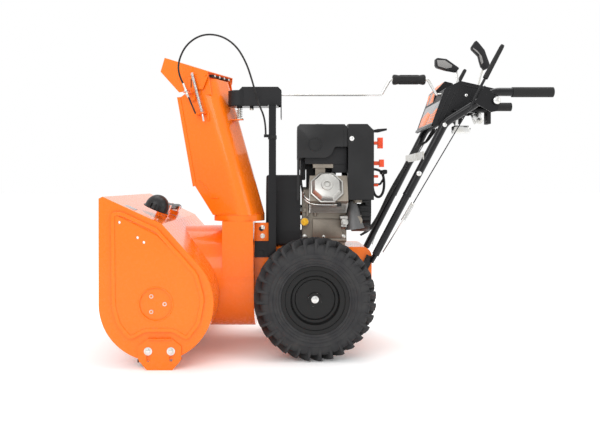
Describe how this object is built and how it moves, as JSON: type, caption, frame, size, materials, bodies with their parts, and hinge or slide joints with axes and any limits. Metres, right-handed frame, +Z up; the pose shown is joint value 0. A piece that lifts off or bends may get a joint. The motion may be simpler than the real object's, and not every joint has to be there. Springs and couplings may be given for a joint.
{
  "type": "snow blower",
  "caption": "Walk-behind two-stage snow blower with ribbon auger, impeller, crank-turned chute with tilting deflector, petrol engine, lugged wheels and splayed handlebars.",
  "frame": {"origin": "on the ground, midway between the front edge of the auger housing and the ends of the hand grips, on the centre plane", "axes": "+X towards the operator, +Y to the operator's right, +Z up"},
  "size_m": [1.488, 0.7344, 1.1139],
  "materials": {
    "orange_paint": "gloss orange powder coat",
    "black_paint": "satin black powder coat",
    "zinc_steel": "zinc plated steel",
    "cast_grey": "as cast, grey",
    "engine_metal": "cast aluminium",
    "black_plastic": "fine textured black",
    "orange_plastic": "moulded",
    "yellow_plastic": "moulded",
    "tyre_rubber": "charcoal rubber",
    "belt_rubber": "black rubber"
  },
  "bodies": {
    "chassis": {"housing_wrap": "orange_paint", "side_plate_left": "orange_paint", "side_plate_right": "orange_paint", "skid_shoe_left": "orange_paint", "skid_shoe_right": "orange_paint", "shoe_bolts": "zinc_steel", "scraper_blade": "black_paint", "auger_bearings": "cast_grey", "gear_case": "cast_grey", "impeller_drum": "orange_paint", "chute_base_ring": "orange_paint", "impeller_bearing": "cast_grey", "tractor_frame": "orange_paint", "axle_bearings": "cast_grey", "engine_block": "engine_metal", "valve_cover": "engine_metal", "belt_cover": "black_plastic", "muffler_cover": "black_plastic", "engine_shroud": "black_plastic", "fuel_tank": "black_plastic", "gear_post": "black_paint", "gear_cover": "black_plastic", "handlebar_left": "black_paint", "handlebar_right": "black_paint", "handle_brace": "zinc_steel", "grips": "black_plastic", "console_shell": "black_plastic", "deflector_cable": "belt_rubber", "drive_belt": "belt_rubber"},
    "axle_set": {"axle": "zinc_steel", "rim_left": "black_paint", "rim_right": "black_paint", "tyre_left": "tyre_rubber", "tyre_right": "tyre_rubber"},
    "auger": {"auger_shaft": "zinc_steel", "auger_left": "orange_paint", "auger_right": "orange_paint", "worm_wheel": "zinc_steel"},
    "impeller_set": {"impeller": "orange_paint", "impeller_shaft": "zinc_steel"},
    "crank_set": {"crankshaft": "zinc_steel"},
    "chute_handle": {"chute_crank": "zinc_steel", "crank_grip": "black_plastic"},
    "idler": {"idler_gear": "zinc_steel"},
    "chute_body": {"chute": "orange_paint", "chute_gear": "zinc_steel"},
    "deflector_body": {"deflector": "orange_paint"},
    "tilt_lever": {"deflector_lever": "black_plastic"},
    "drive_lever": {"speed_lever": "black_plastic"},
    "clutch_left": {"clutch_lever_left": "black_paint"},
    "clutch_right": {"clutch_lever_right": "black_paint"},
    "link_left": {"clutch_link_left": "zinc_steel"},
    "link_right": {"clutch_link_right": "zinc_steel"},
    "recoil_pull": {"recoil_handle": "black_plastic"},
    "choke": {"choke_knob": "orange_plastic"},
    "key": {"ignition_key": "orange_plastic"},
    "throttle": {"throttle_lever": "black_plastic"},
    "tank_cap": {"fuel_cap": "black_plastic"},
    "filler_cap": {"oil_cap": "yellow_plastic"},
    "tool": {"cleanout_tool": "black_plastic"}
  },
  "joints": [
    {"name": "axle_turn", "type": "hinge", "parent": "chassis", "child": "axle_set", "pos_m": [-0.057, 0, 0.203], "axis": [0, 1, 0], "continuous": true},
    {"name": "impeller_turn", "type": "hinge", "parent": "chassis", "child": "impeller_set", "pos_m": [-0.3, 0, 0.253], "axis": [1, 0, 0], "continuous": true},
    {"name": "auger_turn", "type": "hinge", "parent": "chassis", "child": "auger", "pos_m": [-0.562, 0, 0.208], "axis": [0, 1, 0], "continuous": true},
    {"name": "crank_turn", "type": "hinge", "parent": "chassis", "child": "crank_set", "pos_m": [0, 0, 0.49], "axis": [1, 0, 0], "continuous": true},
    {"name": "chute_turn", "type": "hinge", "parent": "chassis", "child": "chute_body", "pos_m": [-0.319, -0.092, 0.6], "axis": [0, 0, 1], "range_deg": [-65, 115], "deforming": ["deflector_cable"]},
    {"name": "idler_turn", "type": "hinge", "parent": "chassis", "child": "idler", "pos_m": [-0.2758, -0.092, 0.88], "axis": [0, 0, 1], "range_deg": [-345, 195]},
    {"name": "handle_turn", "type": "hinge", "parent": "chassis", "child": "chute_handle", "pos_m": [0, -0.092, 0.903], "axis": [1, 0, 0], "range_deg": [-690, 390]},
    {"name": "tilt_turn", "type": "hinge", "parent": "chassis", "child": "tilt_lever", "pos_m": [0.466, -0.07, 0.88], "axis": [0, 1, 0], "range_deg": [-17, 4]},
    {"name": "deflector_turn", "type": "hinge", "parent": "chute_body", "child": "deflector_body", "pos_m": [-0.39876, -0.05481, 0.966], "axis": [0.4226, 0.9063, 0], "range_deg": [-51, 12], "deforming": ["deflector_cable"]},
    {"name": "speed_turn", "type": "hinge", "parent": "chassis", "child": "drive_lever", "pos_m": [0.534, 0.01, 0.878], "axis": [0, 1, 0], "range_deg": [-20, 14]},
    {"name": "clutch_turn_left", "type": "hinge", "parent": "chassis", "child": "clutch_left", "pos_m": [0.546, -0.24, 0.863], "axis": [0, 1, 0], "range_deg": [0, 61], "stiffness_Nm_per_rad": 1.2, "springref_deg": -28.65},
    {"name": "link_slide_left", "type": "slide", "parent": "chassis", "child": "link_left", "axis": [0.5082, 0, 0.8613], "range_m": [0, 0.08]},
    {"name": "clutch_turn_right", "type": "hinge", "parent": "chassis", "child": "clutch_right", "pos_m": [0.546, 0.24, 0.863], "axis": [0, 1, 0], "range_deg": [0, 61], "stiffness_Nm_per_rad": 1.2, "springref_deg": -28.65},
    {"name": "link_slide_right", "type": "slide", "parent": "chassis", "child": "link_right", "axis": [0.5082, 0, 0.8613], "range_m": [0, 0.08]},
    {"name": "recoil_slide", "type": "slide", "parent": "chassis", "child": "recoil_pull", "axis": [1, 0, 0], "range_m": [0, 0.25], "stiffness_N_per_m": 30, "springref_m": -0.2},
    {"name": "choke_slide", "type": "slide", "parent": "chassis", "child": "choke", "axis": [1, 0, 0], "range_m": [0, 0.012]},
    {"name": "key_slide", "type": "slide", "parent": "chassis", "child": "key", "axis": [1, 0, 0], "range_m": [0, 0.02]},
    {"name": "throttle_turn", "type": "hinge", "parent": "chassis", "child": "throttle", "pos_m": [0.154, -0.059, 0.7755], "axis": [0, 1, 0], "range_deg": [-15, 35]},
    {"name": "tank_cap_lift", "type": "slide", "parent": "chassis", "child": "tank_cap", "axis": [0, 0, 1], "range_m": [0, 0.05]},
    {"name": "oil_cap_pull", "type": "slide", "parent": "chassis", "child": "filler_cap", "axis": [0, -1, 0], "range_m": [0, 0.06]},
    {"name": "tool_lift", "type": "slide", "parent": "chassis", "child": "tool", "axis": [0.3967, 0, 0.9179], "range_m": [0, 0.15]}
  ],
  "couplings": [
    {"joint": "auger_turn", "follows": "impeller_turn", "ratio": -0.05},
    {"joint": "crank_turn", "follows": "impeller_turn", "ratio": 2.1429},
    {"joint": "idler_turn", "follows": "chute_turn", "ratio": -3},
    {"joint": "handle_turn", "follows": "chute_turn", "ratio": -6},
    {"joint": "deflector_turn", "follows": "tilt_turn", "ratio": 3},
    {"joint": "link_slide_left", "follows": "clutch_turn_left", "m_per_rad": 0.073},
    {"joint": "link_slide_right", "follows": "clutch_turn_right", "m_per_rad": 0.073}
  ]
}
